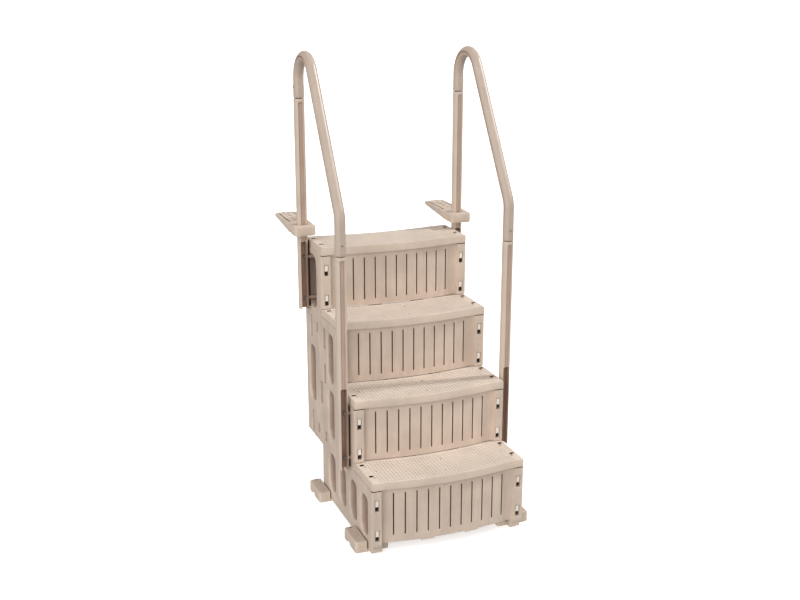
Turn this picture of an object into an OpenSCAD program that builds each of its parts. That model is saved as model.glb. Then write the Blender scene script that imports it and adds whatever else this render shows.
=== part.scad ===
// In-pool step ladder: four bowed treads on two bolted side-panel modules,
// with four posts, two handrails and two sliding deck brackets.
// X runs across the steps, Y runs from the swimmer towards the deck, Z is up.

/* [Steps] */
// Width of a tread across the ladder
step_w = 610; // [560:5:680]
// Height of the first tread's top above the pool floor
first_rise = 293; // [285:1:320]
// Height from one tread's top to the next
rise = 249; // [235:1:260]
// Horizontal distance from one tread's front edge to the next
run = 186; // [180:1:190]
// Front to back depth of a tread
tread_depth = 206; // [205:1:210]
// Thickness of a tread
tread_t = 32; // [26:1:34]
// How far the middle of a tread bows forward
bow = 25; // [15:1:35]
// Width of the bowed stretch
bow_w = 500; // [440:5:510]

/* [Risers] */
// Distance from a tread's front edge back to the riser face
setback = 13; // [11:1:15]
// Thickness of a riser's front skin, which reaches out to its end strips
riser_t = 3; // [3:0.5:5]
// Thickness of a riser between the side panels
riser_core = 18; // [10:1:20]
// Width of the plain strip at each end of a riser
strip_w = 38; // [32:1:42]
// Number of water slots in a riser
slot_count = 11; // [5:2:11]
// Distance between neighbouring water slots
slot_pitch = 44; // [30:1:46]
// Width of a water slot
slot_w = 5; // [4:0.5:8]
// Height of a water slot
slot_h = 170; // [100:5:175]

/* [Side panels] */
// Thickness of a side panel
panel_t = 44; // [40:1:48]
// Depth of the oval recesses and bolt pockets
pocket_depth = 32; // [22:1:34]
// Rear edge of the lower panels behind the first tread's front edge
lower_rear = 592; // [590:1:595]
// Rear edge of the upper panels
upper_rear = 790; // [780:1:800]
// Height of the upper panels' bottom edge above the floor
upper_bottom = 206; // [190:1:215]
// Gap between the upper and the lower panel
panel_gap = 2; // [1:0.5:3]

/* [Feet] */
// Width of a foot across the ladder
foot_w = 131; // [120:1:140]
// Front to back depth of a foot
foot_depth = 135; // [110:1:140]
// Height of a foot
foot_h = 44; // [38:1:48]
// How far a foot stands out beyond the side panel
foot_out = 50; // [46:1:60]

/* [Posts] */
// Diameter of a post
post_d = 42; // [40:0.5:44]
// Distance from a tread's end out to the post's axis
post_out = 29; // [28:0.5:32]
// Rear posts' axis behind the first tread's front edge
rear_post_y = 719; // [715:1:725]
// Front posts' axis behind the first tread's front edge
front_post_y = 240; // [238:1:244]
// Height of the rear posts' top joint
rear_joint_z = 1597; // [1590:1:1610]
// Height of the front posts' top joint
front_joint_z = 1085; // [1060:1:1095]

/* [Handrails] */
// Overall height of the ladder
total_h = 1783; // [1770:1:1800]
// Wall thickness of a handrail
rail_wall = 3; // [2.5:0.5:4]
// Centreline radius of the arch at the top
arch_r = 95; // [90:1:100]
// Slope of the long straight stretch, from the vertical
rail_angle = 32; // [31:0.5:33]
// Centreline radius of the lower bend
bend_r = 80; // [60:5:100]

/* [Deck brackets] */
// Height of the brackets' top face in the stored position
bracket_top = 1104; // [1101:1:1110]
// Width of the deck plate
plate_w = 96; // [90:1:104]
// Length of the deck plate behind the post's axis
plate_reach = 251; // [248:1:260]
// Width of the collar
collar_w = 86; // [80:1:92]

/* [Hidden] */
$fn = 48;
half_w = step_w / 2;
bow_r = (bow_w * bow_w / 4 + bow * bow) / (2 * bow);
post_x = half_w + post_out;
panel_outer = half_w + 1;
panel_inner = panel_outer - panel_t;
strip_front = 1;
panel_front = setback + riser_t;
rail_d = post_d;
bend_swell = 0.4;
rail_bore = rail_d - bend_swell - 2 * rail_wall;
front_y = -bow;
rear_y = rear_post_y + plate_reach;
mid_y = (front_y + rear_y) / 2;
slack = 0.3;
over = 1;

// heights and distances of the four steps
function tread_top(k) = first_rise + (k - 1) * rise;
function tread_under(k) = tread_top(k) - tread_t;
function tread_y(k) = (k - 1) * run;

// treads: lock slots and drain holes
lock_x = half_w - 18;
lock_ys = [65, 165];
lock_size = 14;
drain_d = 6;
drain_spots = [[-254, 100], [254, 100], [12, 140], [-9, 43]];

// risers: gap over the tread below, resting tabs and clip windows
riser_gap = 2.5;
first_tab_h = 5;
first_riser_drop = 7;
slot_top_drop = 20;
tab_x = 89;
tab_w = 54;
strip_drop = 8;
window_x = panel_outer - 20;
window_w = 17;
window_h = 44;
window_drops = [38, 159];
clip_h = 26;

// side panels: column spacing and oval sizes
panel_floor = 6;
oval_w = 80;
base_oval_low = 50;
base_oval_high = 212;
base_oval_ys = [92, 218, 344, 472];

// bolts that join the upper to the lower panel
join_x = panel_outer - 15;
join_zs = [262, 698];
join_d = 8;
upper_pocket_y = 640;
lower_pocket_y = 546;
upper_pocket_w = 26;
lower_pocket_w = 30;

// bolts that hold the posts to bosses on the panels
boss_d = 34;
post_bolt_d = 8;
rear_bolt_zs = [800, 970];
front_bolt_zs = [300, 480];
channel_w = 14;
channel_depth = 28;
flute_w = 12;
flute_depth = 4;
rear_channel_top = 1035;
front_channel_top = 581;
rear_post_bottom = 757;
front_post_bottom = 256;
spigot_h = 60;
flute_stop = 16;

// handrail centreline, as distances behind the first tread's edge and heights
arch_z = total_h - rail_d / 2 - arch_r;
arch_sweep = 180 - rail_angle;
arch_end = [rear_post_y - arch_r + arch_r * cos(arch_sweep), arch_z + arch_r * sin(arch_sweep)];
slope_start = front_post_y + bend_r * (1 - cos(rail_angle));
slope_len = (arch_end.x - slope_start) / sin(rail_angle);
bend_z = arch_end.y - slope_len * cos(rail_angle) - bend_r * sin(rail_angle);
slope_end = [slope_start, bend_z + bend_r * sin(rail_angle)];
rail_screw_up = 44;
rail_screw_d = 5;

// deck brackets: the collar and the plate meet behind the post
collar_h = 38;
collar_front = 54;
split_y = 15;
split_gap = 2;
plate_thick = 34;
tip_thick = 11;
collar_clear = 1.5;
collar_bolt_x = 33;
collar_bolt_d = 8;
bolt_pocket_y = 58;
deck_hole_d = 6;
deck_hole_ys = [95, 132, 170, 196];
deck_pair_x = 22;
deck_pair_y = 236;
groove_x = 33;
groove_w = 3;
groove_depth = 3;

resin = [0.77, 0.68, 0.59];
pale_resin = [0.90, 0.85, 0.78];
steel = [0.62, 0.62, 0.64];

// centres the ladder on the origin, front to back
module placed() {
    translate([0, -mid_y, 0]) children();
}

// the parts are drawn for the right-hand side, +X; the left-hand side is their mirror image
module on_side(side) {
    placed() mirror([side < 0 ? 1 : 0, 0, 0]) children();
}

// turns a flat drawing (Y across, Z up) into a solid that grows along X
module side_plane() {
    rotate([90, 0, 90]) children();
}

// a block given by its low and high corners
module block(low, high) {
    translate(low) cube(high - low);
}

// a rod along X from x0 to x1
module rod_x(x0, x1, y, z, d) {
    translate([x0, y, z]) rotate([0, 90, 0]) cylinder(h = x1 - x0, d = d);
}

// a rod along Y from y0 to y1
module rod_y(x, y0, y1, z, d) {
    translate([x, y0, z]) rotate([-90, 0, 0]) cylinder(h = y1 - y0, d = d);
}

// flat drawing of a slot with round ends, centred on [y, z]
module stadium(y, low, high, w) {
    translate([y - w / 2, low + w / 2]) square([w, high - low - w]);
    for (z = [low + w / 2, high - w / 2]) translate([y, z]) circle(d = w);
}

// plan outline with a straight front at the ends and a bow in the middle
module bowed_plan(w, depth) {
    translate([-w / 2, 0]) square([w, depth]);
    intersection() {
        translate([0, bow_r - bow]) circle(r = bow_r, $fn = 360);
        translate([-bow_w / 2, -bow - over]) square([bow_w, bow + 2 * over]);
    }
}

// ---- treads and risers ----

module tread(k) {
    color(resin) placed() translate([0, tread_y(k), tread_under(k)]) difference() {
        linear_extrude(tread_t) difference() {
            bowed_plan(step_w, tread_depth);
            translate([0, tread_depth]) bowed_plan(2 * bow_w, tread_depth);
        }
        for (side = [-1, 1], y = lock_ys)
            translate([side * lock_x, y, tread_t / 2])
                cube([lock_size, lock_size, 2 * tread_t], center = true);
        for (spot = drain_spots)
            translate([spot.x, spot.y, -over]) cylinder(h = tread_t + 2 * over, d = drain_d);
    }
}

function riser_low(k) = k == 1
    ? tread_under(1) - (rise - tread_t - first_tab_h) - first_riser_drop
    : tread_top(k - 1) + riser_gap;

// plan of a bowed board of width w and thickness t
module bowed_board(w, t) {
    difference() {
        bowed_plan(w, t);
        translate([0, t]) bowed_plan(2 * panel_outer, t + bow);
    }
}

module riser_wall(k) {
    low = riser_low(k);
    tab_h = k == 1 ? first_tab_h : riser_gap;
    translate([0, setback, low]) linear_extrude(tread_under(k) - low) {
        bowed_board(2 * (panel_outer - strip_w + over), riser_t);
        bowed_board(2 * (panel_inner - over), riser_core);
    }
    for (side = [-1, 1])
        translate([side * tab_x, setback, low - tab_h])
            linear_extrude(tab_h + over) intersection() {
                translate([-side * tab_x, 0]) bowed_board(2 * panel_outer, riser_core);
                translate([-tab_w / 2, -2 * bow]) square([tab_w, 4 * bow]);
            }
}

module riser_strip(k) {
    low = k == 1 ? riser_low(1) - strip_drop : riser_low(k);
    difference() {
        block([panel_outer - strip_w, strip_front, low], [panel_outer, panel_front, tread_under(k)]);
        for (drop = window_drops)
            block([window_x - window_w / 2, -over, tread_under(k) - drop - window_h],
                  [window_x + window_w / 2, panel_front + over, tread_under(k) - drop]);
    }
}

module riser(k) {
    color(resin) placed() translate([0, tread_y(k), 0]) difference() {
        union() {
            riser_wall(k);
            riser_strip(k);
            mirror([1, 0, 0]) riser_strip(k);
        }
        for (i = [0:slot_count - 1])
            translate([(i - (slot_count - 1) / 2) * slot_pitch - slot_w / 2, -2 * bow,
                       tread_under(k) - slot_top_drop - slot_h])
                cube([slot_w, 4 * bow, slot_h]);
    }
}

// the clip that fills the upper part of each window and plugs into the panel's edge
module riser_clip(k, drop) {
    top = tread_under(k) - drop;
    block([window_x - window_w / 2, strip_front + 2, top - clip_h],
          [window_x + window_w / 2, panel_front + pocket_depth / 2, top]);
}

module riser_clips(k) {
    color(pale_resin) placed() translate([0, tread_y(k), 0])
        for (drop = window_drops) {
            riser_clip(k, drop);
            mirror([1, 0, 0]) riser_clip(k, drop);
        }
}

// ---- side panels ----

// pockets in a panel's front edge, behind the riser's windows
module window_pockets(k) {
    for (drop = window_drops)
        translate([0, tread_y(k), 0])
            block([window_x - window_w / 2, panel_front - over, tread_under(k) - drop - window_h],
                  [window_x + window_w / 2, panel_front + pocket_depth / 2, tread_under(k) - drop]);
}

// room for the rear edge of a tread
module tread_seat(k) {
    block([0, tread_y(k), tread_under(k)], [panel_outer + over, tread_y(k) + tread_depth, tread_top(k)]);
}

// blind recesses in a panel's outer face, from a flat drawing
module recess() {
    translate([panel_outer - pocket_depth, 0, 0])
        side_plane() linear_extrude(pocket_depth + over) children();
}

module bolt_boss(y, z) {
    rod_x(panel_outer - over, post_x - post_d / 2 + 2, y, z, boss_d);
}

module lower_outline() {
    block_y0 = panel_front;
    polygon([
        [block_y0, panel_floor], [lower_rear, panel_floor],
        [lower_rear, tread_under(3)], [block_y0 + tread_y(3), tread_under(3)],
        [block_y0 + tread_y(3), tread_under(2)], [block_y0 + tread_y(2), tread_under(2)],
        [block_y0 + tread_y(2), tread_under(1)], [block_y0, tread_under(1)]
    ]);
}

module lower_recesses() {
    for (y = base_oval_ys) stadium(y, base_oval_low, base_oval_high, oval_w);
    stadium(base_oval_ys[3], 280, 480, 74);
    stadium(base_oval_ys[3], 515, 716, 72);
    stadium(300, 290, 470, oval_w);
    for (z = [join_zs[0], 530, join_zs[1] - 19])
        translate([lower_pocket_y - lower_pocket_w / 2, z - (z == join_zs[0] ? 21 : 41)])
            square([lower_pocket_w, z == join_zs[0] ? 42 : 82]);
}

module lower_panel(side) {
    color(resin) on_side(side) difference() {
        union() {
            translate([panel_inner, 0, 0]) side_plane() linear_extrude(panel_t) lower_outline();
            for (z = front_bolt_zs) bolt_boss(front_post_y, z);
        }
        recess() lower_recesses();
        recess() edge_notch();
        for (k = [1:3]) {
            window_pockets(k);
            tread_seat(k);
        }
        for (z = front_bolt_zs)
            rod_x(panel_inner - over, post_x, front_post_y, z, post_bolt_d + 2 * slack);
        for (z = join_zs)
            rod_y(join_x, lower_pocket_y, lower_rear + over, z, join_d + 2 * slack);
    }
}

module edge_notch() {
    translate([lower_rear + panel_gap / 2 - 17, 387]) square([34, 94]);
}

module upper_outline() {
    y0 = lower_rear + panel_gap;
    y1 = panel_front + tread_y(4);
    shelf = tread_top(3) + panel_gap;
    polygon([
        [y0, upper_bottom], [upper_rear, upper_bottom], [upper_rear, tread_under(4)],
        [y1, tread_under(4)], [y1, shelf], [y0, shelf]
    ]);
}

module upper_recesses() {
    stadium(711, 360, 600, oval_w);
    stadium(692, 768, 985, 110);
    for (z = [270, 682]) translate([703, z - 46]) square([24, 92]);
    for (z = join_zs)
        translate([upper_pocket_y - upper_pocket_w / 2, z - 20]) square([upper_pocket_w, 40]);
}

module upper_panel(side) {
    color(resin) on_side(side) difference() {
        union() {
            translate([panel_inner, 0, 0]) side_plane() linear_extrude(panel_t) upper_outline();
            for (z = rear_bolt_zs) bolt_boss(rear_post_y, z);
        }
        difference() {
            recess() upper_recesses();
            for (z = rear_bolt_zs)
                rod_x(panel_inner, post_x, rear_post_y, z, boss_d);
        }
        recess() edge_notch();
        window_pockets(4);
        for (z = rear_bolt_zs)
            rod_x(panel_inner - over, post_x, rear_post_y, z, post_bolt_d + 2 * slack);
        for (z = join_zs)
            rod_y(join_x, lower_rear, upper_pocket_y, z, join_d + 2 * slack);
    }
}

// ---- feet ----

module foot(side, rear) {
    y0 = rear ? 489 : 46;
    x1 = panel_outer + foot_out;
    color(resin) on_side(side) difference() {
        block([x1 - foot_w, y0, 0], [x1, y0 + foot_depth, foot_h]);
        block([panel_inner - slack, y0 - over, panel_floor],
              [panel_outer + slack, y0 + foot_depth + over, foot_h + over]);
        block([x1 - foot_w - over, y0 + 83, -over], [x1 + over, y0 + 103, 9]);
        translate([panel_outer + 27, y0 + foot_depth - 13, foot_h - 24])
            cylinder(h = 24 + over, d = 8);
    }
}

// ---- posts, handrails and their screws ----

module post_shape(y, bottom, channel_top, joint) {
    difference() {
        union() {
            translate([post_x, y, bottom]) cylinder(h = joint - bottom, d = post_d);
            translate([post_x, y, joint])
                cylinder(h = spigot_h, d = rail_bore - 2 * slack);
        }
        block([post_x - channel_w / 2, y - post_d, bottom - over],
              [post_x + channel_w / 2, y - post_d / 2 + channel_depth, channel_top]);
        block([post_x - flute_w / 2, y - post_d, channel_top - over],
              [post_x + flute_w / 2, y - post_d / 2 + flute_depth, joint - flute_stop]);
    }
}

module post(side, rear) {
    y = rear ? rear_post_y : front_post_y;
    bottom = rear ? rear_post_bottom : front_post_bottom;
    channel_top = rear ? rear_channel_top : front_channel_top;
    joint = rear ? rear_joint_z : front_joint_z;
    color(resin) on_side(side) difference() {
        post_shape(y, bottom, channel_top, joint);
        for (z = rear ? rear_bolt_zs : front_bolt_zs) {
            rod_x(post_x - post_d, post_x, y, z, post_bolt_d + 2 * slack);
            rod_x(post_x - post_d, post_x - post_d / 2 + 2, y, z, boss_d + 2 * slack);
        }
        if (rear)
            rod_x(post_x, post_x + post_d, y, joint + rail_screw_up, rail_screw_d - 1);
        else
            rod_y(post_x, y - post_d, y, joint + rail_screw_up, rail_screw_d - 1);
    }
}

// a straight bar in the rail's plane, from one [y, z] point to another
module bar(from, to, d) {
    translate([from.x, from.y, 0])
        rotate([0, 0, atan2(to.y - from.y, to.x - from.x)])
            rotate([0, 90, 0]) cylinder(h = norm(to - from), d = d);
}

// the rail's whole route as a round bar, its bends of diameter d and its straight stretches a little
// thinner and lapped into the bends; the open ends are longer by extra
module rail_bar(d, extra) {
    lap = 3;
    thin = d - bend_swell;
    along = [sin(rail_angle), cos(rail_angle)];
    side_plane() {
        bar([rear_post_y, rear_joint_z - extra], [rear_post_y, arch_z + lap], thin);
        translate([rear_post_y - arch_r, arch_z, 0])
            rotate_extrude(angle = arch_sweep) translate([arch_r, 0]) circle(d = d);
        bar(arch_end + lap * along, slope_end - lap * along, thin);
        translate([front_post_y + bend_r, bend_z, 0]) rotate([0, 0, 180 - rail_angle])
            rotate_extrude(angle = rail_angle) translate([bend_r, 0]) circle(d = d);
        bar([front_post_y, bend_z + lap], [front_post_y, front_joint_z - extra], thin);
    }
}

module handrail(side) {
    color(resin) on_side(side) difference() {
        translate([post_x, 0, 0]) difference() {
            rail_bar(rail_d, 0);
            rail_bar(rail_d - 2 * rail_wall, over);
        }
        rod_x(post_x, post_x + rail_d, rear_post_y, rear_joint_z + rail_screw_up, rail_screw_d);
        rod_y(post_x, front_post_y - rail_d, front_post_y, front_joint_z + rail_screw_up, rail_screw_d);
    }
}

module rail_screws(side) {
    color(steel) on_side(side) {
        z0 = rear_joint_z + rail_screw_up;
        z1 = front_joint_z + rail_screw_up;
        face = rail_d / 2;
        rod_x(post_x + 8, post_x + face + 0.5, rear_post_y, z0, rail_screw_d - 1.2);
        rod_x(post_x + face + 0.5, post_x + face + 2.5, rear_post_y, z0, 2 * rail_screw_d);
        rod_y(post_x, front_post_y - face - 0.5, front_post_y - 8, z1, rail_screw_d - 1.2);
        rod_y(post_x, front_post_y - face - 2.5, front_post_y - face - 0.5, z1, 2 * rail_screw_d);
    }
}

// ---- bolts and nuts ----

module panel_bolts(side) {
    head = upper_pocket_y - upper_pocket_w / 2;
    color(steel) on_side(side) for (z = join_zs) {
        rod_y(join_x, lower_pocket_y + 4, head, z, join_d);
        translate([join_x, head, z]) rotate([-90, 0, 0]) cylinder(h = 5.5, d = 15, $fn = 6);
    }
}

module panel_nuts(side) {
    seat = lower_pocket_y + lower_pocket_w / 2;
    color(steel) on_side(side) for (z = join_zs)
        translate([join_x, seat, z]) rotate([90, 0, 0]) difference() {
            cylinder(h = 6.5, d = 15, $fn = 6);
            translate([0, 0, -over]) cylinder(h = 6.5 + 2 * over, d = join_d);
        }
}

module post_bolts(side) {
    head = post_x - channel_w / 2;
    color(steel) on_side(side)
        for (spot = [[rear_post_y, rear_bolt_zs[0]], [rear_post_y, rear_bolt_zs[1]],
                     [front_post_y, front_bolt_zs[0]], [front_post_y, front_bolt_zs[1]]]) {
            rod_x(panel_inner - 10, head, spot.x, spot.y, post_bolt_d);
            rod_x(head, head + 5, spot.x, spot.y, 13);
        }
}

module post_nuts(side) {
    color(steel) on_side(side)
        for (spot = [[rear_post_y, rear_bolt_zs[0]], [rear_post_y, rear_bolt_zs[1]],
                     [front_post_y, front_bolt_zs[0]], [front_post_y, front_bolt_zs[1]]])
            translate([panel_inner, spot.x, spot.y]) rotate([0, -90, 0]) difference() {
                cylinder(h = 6.5, d = 15, $fn = 6);
                translate([0, 0, -over]) cylinder(h = 6.5 + 2 * over, d = post_bolt_d);
            }
}

// ---- deck brackets, the same parts on both sides, drawn about the post's axis and their top face ----

module at_bracket(side) {
    placed() translate([side * post_x, rear_post_y, bracket_top]) children();
}

// a rectangle with two rounded corners at its far end, Y = reach
module rounded_tongue(w, reach, start, corner) {
    translate([-w / 2, start]) square([w, reach - corner - start]);
    translate([corner - w / 2, start]) square([w - 2 * corner, reach - start]);
    for (hand = [-1, 1])
        translate([hand * (w / 2 - corner), reach - corner]) circle(r = corner);
}

module collar_bore() {
    translate([0, 0, -2 * collar_h]) cylinder(h = 3 * collar_h, d = post_d + 2 * collar_clear);
}

module collar_clamp(side) {
    color(resin) at_bracket(side) difference() {
        translate([0, 0, -collar_h]) linear_extrude(collar_h)
            mirror([0, 1]) rounded_tongue(collar_w, collar_front, -split_y, 14);
        collar_bore();
        for (hand = [-1, 1])
            rod_y(hand * collar_bolt_x, -30, split_y + over, -plate_thick / 2, collar_bolt_d);
    }
}

module plate_side() {
    front = split_y + split_gap;
    polygon([[front, -plate_thick], [plate_reach, -tip_thick], [plate_reach, 0], [front, 0]]);
}

module deck_plate(side) {
    color(resin) at_bracket(side) difference() {
        intersection() {
            translate([-plate_w / 2, 0, 0]) side_plane() linear_extrude(plate_w) plate_side();
            translate([0, 0, -plate_thick]) linear_extrude(plate_thick)
                rounded_tongue(plate_w, plate_reach, 0, 18);
        }
        collar_bore();
        for (y = deck_hole_ys)
            translate([0, y, -2 * plate_thick]) cylinder(h = 3 * plate_thick, d = deck_hole_d);
        for (hand = [-1, 1]) {
            translate([hand * deck_pair_x / 2, deck_pair_y, -2 * plate_thick])
                cylinder(h = 3 * plate_thick, d = deck_hole_d);
            translate([hand * groove_x - groove_w / 2, 57, -groove_depth])
                cube([groove_w, 172, groove_depth + over]);
            rod_y(hand * collar_bolt_x, 0, bolt_pocket_y + over, -plate_thick / 2, collar_bolt_d);
            translate([hand * collar_bolt_x - 9, bolt_pocket_y, -plate_thick - over])
                cube([18, 22, plate_thick - 8]);
        }
    }
}

module collar_bolts(side) {
    color(steel) at_bracket(side) for (hand = [-1, 1]) {
        rod_y(hand * collar_bolt_x, -30, bolt_pocket_y, -plate_thick / 2, collar_bolt_d);
        rod_y(hand * collar_bolt_x, bolt_pocket_y, bolt_pocket_y + 5.5, -plate_thick / 2, 14);
    }
}

tread(1);  // tread_1
tread(2);  // tread_2
tread(3);  // tread_3
tread(4);  // tread_4
riser(1);  // riser_1
riser(2);  // riser_2
riser(3);  // riser_3
riser(4);  // riser_4
riser_clips(1);  // riser_clips_1
riser_clips(2);  // riser_clips_2
riser_clips(3);  // riser_clips_3
riser_clips(4);  // riser_clips_4
lower_panel(-1);  // lower_panel_left
lower_panel(1);  // lower_panel_right
upper_panel(-1);  // upper_panel_left
upper_panel(1);  // upper_panel_right
foot(-1, false);  // foot_front_left
foot(1, false);  // foot_front_right
foot(-1, true);  // foot_rear_left
foot(1, true);  // foot_rear_right
post(-1, false);  // post_front_left
post(1, false);  // post_front_right
post(-1, true);  // post_rear_left
post(1, true);  // post_rear_right
handrail(-1);  // handrail_left
handrail(1);  // handrail_right
rail_screws(-1);  // rail_screws_left
rail_screws(1);  // rail_screws_right
panel_bolts(-1);  // panel_bolts_left
panel_bolts(1);  // panel_bolts_right
panel_nuts(-1);  // panel_nuts_left
panel_nuts(1);  // panel_nuts_right
post_bolts(-1);  // post_bolts_left
post_bolts(1);  // post_bolts_right
post_nuts(-1);  // post_nuts_left
post_nuts(1);  // post_nuts_right
deck_plate(-1);  // deck_plate_left
deck_plate(1);  // deck_plate_right
collar_clamp(-1);  // collar_clamp_left
collar_clamp(1);  // collar_clamp_right
collar_bolts(-1);  // collar_bolts_left
collar_bolts(1);  // collar_bolts_right
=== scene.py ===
"""Pool ladder: moulded treads, risers, side panels, posts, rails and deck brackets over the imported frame.

Sizes inside the builders are in millimetres in the ladder's own frame: x across the steps, y back from
the first tread's front corners, z up from the floor. They become metres when a mesh is written.
"""

import math

import bpy
import numpy as np
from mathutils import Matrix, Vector


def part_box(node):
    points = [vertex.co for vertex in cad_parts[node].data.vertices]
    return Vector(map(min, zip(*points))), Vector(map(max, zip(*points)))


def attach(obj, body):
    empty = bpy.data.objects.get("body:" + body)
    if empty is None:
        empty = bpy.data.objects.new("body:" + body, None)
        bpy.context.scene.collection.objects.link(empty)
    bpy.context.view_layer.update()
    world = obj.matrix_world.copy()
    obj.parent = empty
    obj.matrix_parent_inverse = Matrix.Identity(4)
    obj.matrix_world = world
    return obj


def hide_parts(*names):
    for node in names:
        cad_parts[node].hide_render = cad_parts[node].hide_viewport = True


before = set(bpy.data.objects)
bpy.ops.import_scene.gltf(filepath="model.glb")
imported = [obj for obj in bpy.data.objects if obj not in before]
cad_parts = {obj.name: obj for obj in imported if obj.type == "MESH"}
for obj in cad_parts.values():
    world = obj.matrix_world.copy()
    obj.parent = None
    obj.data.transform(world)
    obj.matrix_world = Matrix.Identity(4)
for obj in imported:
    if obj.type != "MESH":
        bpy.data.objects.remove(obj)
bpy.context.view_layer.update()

bl_info = {
    "name": "Pool ladder",
    "version": (1, 0, 0),
    "blender": (4, 5, 0),
    "location": "3D View > Sidebar > Pool Ladder",
    "description": "Builds a resin in-pool ladder over its packed frame",
    "category": "Object",
}

MM = 1000.0
SIDES = {"left": -1, "right": 1}


def box_mm(node):
    """Low and high corners of a frame node in millimetres."""
    low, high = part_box(node)
    return np.array(low) * MM, np.array(high) * MM


TREAD_BOX = [box_mm(f"tread_{k}") for k in (1, 2, 3, 4)]
BOW = 25.0
ORIGIN_Y = TREAD_BOX[0][0][1] + BOW
HALF = TREAD_BOX[0][1][0]
BOW_HALF = 250.0
BOW_R = (BOW_HALF**2 + BOW**2) / (2 * BOW)
GRIP_PITCH, GRIP_ROWS, GRIP_FIRST = 13.0, 15.0, 12.0
POST_X, REAR_POST_Y, FRONT_POST_Y, POST_R = 334.0, 719.0, 240.0, 21.0
PANEL_X = 262.0
WINDOW_X, WINDOW_DROPS, WINDOW_H = 286.0, (38.0, 159.0), 44.0
# Places across a circle's square, in radii, that give an even outline once it is warped round
CIRCLE_STOPS = np.array([-1, -0.86, -0.66, -0.4, -0.13, 0.13, 0.4, 0.66, 0.86, 1])


def front_of(k):
    """Where tread k's front corners stand, back from the first tread's."""
    return TREAD_BOX[k - 1][0][1] + BOW - ORIGIN_Y


# ---------------------------------------------------------------- geometry

def lines(*stops, step=14.0):
    """Grid lines through every stop, with each gap wider than step shared out evenly."""
    s = np.unique(np.round(np.concatenate([np.atleast_1d(np.asarray(a, float)) for a in stops]), 3))
    out = [s[:1]]
    for a, b in zip(s[:-1], s[1:]):
        n = max(1, math.ceil((b - a) / step))
        out.append(a + (b - a) * np.arange(1, n + 1) / n)
    return np.concatenate(out)


def thin(lines_in, gap=0.45):
    """Drops grid lines closer than gap to the one before, but never the last line."""
    keep = [lines_in[0]]
    for a in lines_in[1:]:
        if a - keep[-1] >= gap:
            keep.append(a)
    if keep[-1] != lines_in[-1]:
        keep[-1] = lines_in[-1]
    return np.array(keep)


def cells(u, v):
    """Middles of a grid's cells."""
    return np.meshgrid((u[1:] + u[:-1]) / 2, (v[1:] + v[:-1]) / 2, indexing="ij")


def near(edge, inward, r):
    """Stops that crowd towards an edge so that a rounding of radius r is smooth there."""
    return edge + inward * r * np.array([0, 0.08, 0.3, 0.62, 1.0])


def fillet(d, r):
    """How far a rounded edge has dropped at distance d in from the edge: r less the root of r2 - (r - d)2.

    Distances outside 0 to r count as its ends.
    """
    e = r - np.clip(d, 0, r)
    return r - np.sqrt(np.clip(r * r - e * e, 0, None))


def round_warp(u, v, cu, cv, half, reach, part="all"):
    """Turns the square of half-width half about (cu, cv) into a circle, fading out at reach.

    A point's larger offset m becomes its distance from the centre; part "up" or "down" moves
    only that half, and "corner" only the quarter beyond the centre on the sides reach signs.
    """
    du, dv = u - cu, v - cv
    m, r = np.maximum(abs(du), abs(dv)), np.hypot(du, dv)
    if part == "corner":
        su, sv = reach
        inside = (du * su > 0) & (dv * sv > 0)
        fade = np.ones_like(m)
    else:
        inside = (m < reach) & ((part == "all") | ((dv > 0) if part == "up" else (dv < 0)))
        fade = np.clip((reach - m) / max(reach - half, 1e-6), 0, 1)
    scale = np.where(inside & (r > 0), 1 + fade * (m / np.maximum(r, 1e-9) - 1), 1.0)
    return cu + du * scale, cv + dv * scale


def bowed(x):
    """How far the curved front stands forward at x: an arc of radius BOW_R, and none at the ends."""
    x = np.clip(abs(x), 0, BOW_HALF)
    return np.sqrt(BOW_R**2 - x**2) - (BOW_R - BOW)


def slab(u, v, low, high, solid, place):
    """A closed block over a grid.

    u and v are the grid's lines and solid its filled cells; high and low are the two heights at each
    crossing. Walls close every edge between a filled and an empty cell. place turns u, v and height
    into x, y, z.
    """
    nu, nv = len(u), len(v)
    U, V = np.meshgrid(u, v, indexing="ij")
    low = np.broadcast_to(np.asarray(low, float), U.shape)
    high = np.broadcast_to(np.asarray(high, float), U.shape)
    n = nu * nv
    points = np.concatenate([np.stack(place(U, V, h), -1).reshape(-1, 3) for h in (high, low)])
    at = np.arange(n).reshape(nu, nv)
    cell = np.stack([at[:-1, :-1], at[1:, :-1], at[1:, 1:], at[:-1, 1:]], -1)
    faces = [cell[solid], cell[solid][:, ::-1] + n]
    pad = np.pad(solid, 1)
    for above, below, start, end, flip in (
            (pad[1:, 1:-1], pad[:-1, 1:-1], at[:, :-1], at[:, 1:], False),
            (pad[1:-1, 1:], pad[1:-1, :-1], at[:-1, :], at[1:, :], True)):
        for filled, empty, turn in ((above, below, flip), (below, above, not flip)):
            edge = filled & ~empty
            p, q = start[edge], end[edge]
            wall = np.stack([p, q, q + n, p + n], -1)
            faces.append(wall[:, ::-1] if turn else wall)
    grid = np.tile(np.stack([U, V], -1).reshape(-1, 2), (2, 1))
    return points, [tuple(f) for f in np.concatenate(faces)], grid


def block(u, v, low, high, place):
    """A slab with every cell filled."""
    return slab(u, v, low, high, np.ones((len(u) - 1, len(v) - 1), bool), place)


def swept(rings):
    """A closed skin over a stack of rings, an array of ring x point x 3, its last two faces flat caps."""
    s, t = rings.shape[:2]
    at = np.arange(s * t).reshape(s, t)
    nxt = np.roll(at, -1, 1)
    faces = np.stack([at[:-1], nxt[:-1], nxt[1:], at[1:]], -1).reshape(-1, 4)
    caps = [tuple(at[0][::-1]), tuple(at[-1])]
    return rings.reshape(-1, 3), [tuple(f) for f in faces] + caps, None


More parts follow.
